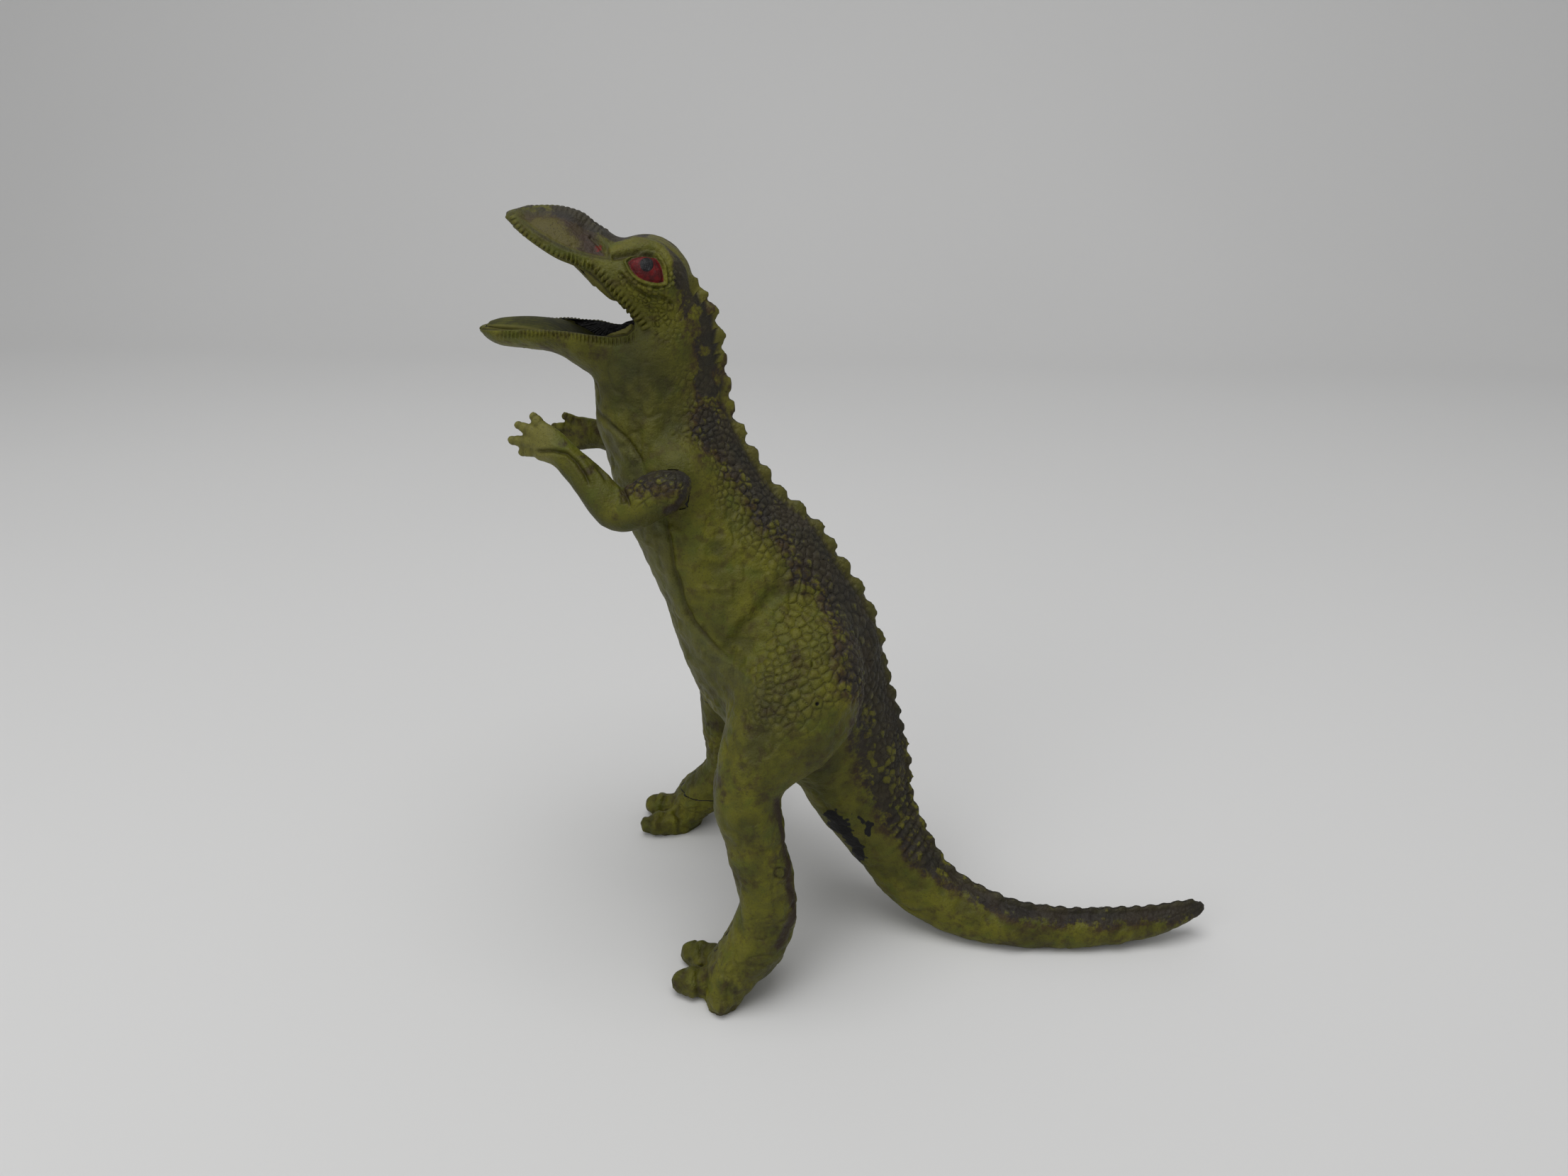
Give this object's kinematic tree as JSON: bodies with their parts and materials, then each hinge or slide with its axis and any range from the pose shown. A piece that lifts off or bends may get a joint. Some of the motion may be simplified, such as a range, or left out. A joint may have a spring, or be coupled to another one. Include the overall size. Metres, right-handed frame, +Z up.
{
  "type": "toy dinosaur figure",
  "caption": "Hollow standing toy dinosaur with a duck-like bill, open mouth, crested back, arms that turn at the shoulders and a long tail that it leans on.",
  "frame": {"origin": "on the floor, in the middle of the figure's length and width", "axes": "+Z up, -X where the snout points, -Y the animal's left side"},
  "size_m": [0.2157, 0.1142, 0.2168],
  "materials": {
    "skin": "olive paint, satin",
    "liner": "dark green paint, satin",
    "arms": "olive paint, satin"
  },
  "bodies": {
    "figure": {"body_shell_left": "skin", "body_shell_right": "skin", "leg_inner_left": "skin", "leg_inner_right": "skin", "mouth_liner": "liner"},
    "left_arm": {"arm_left": "arms"},
    "right_arm": {"arm_right": "arms"}
  },
  "joints": [
    {"name": "left_shoulder", "type": "hinge", "parent": "figure", "child": "left_arm", "pos_m": [-0.0514, -0.0215, 0.148], "axis": [0, 1, 0], "range_deg": [-36, 25]},
    {"name": "right_shoulder", "type": "hinge", "parent": "figure", "child": "right_arm", "pos_m": [-0.0514, 0.0215, 0.148], "axis": [0, 1, 0], "range_deg": [-21, 40]}
  ]
}
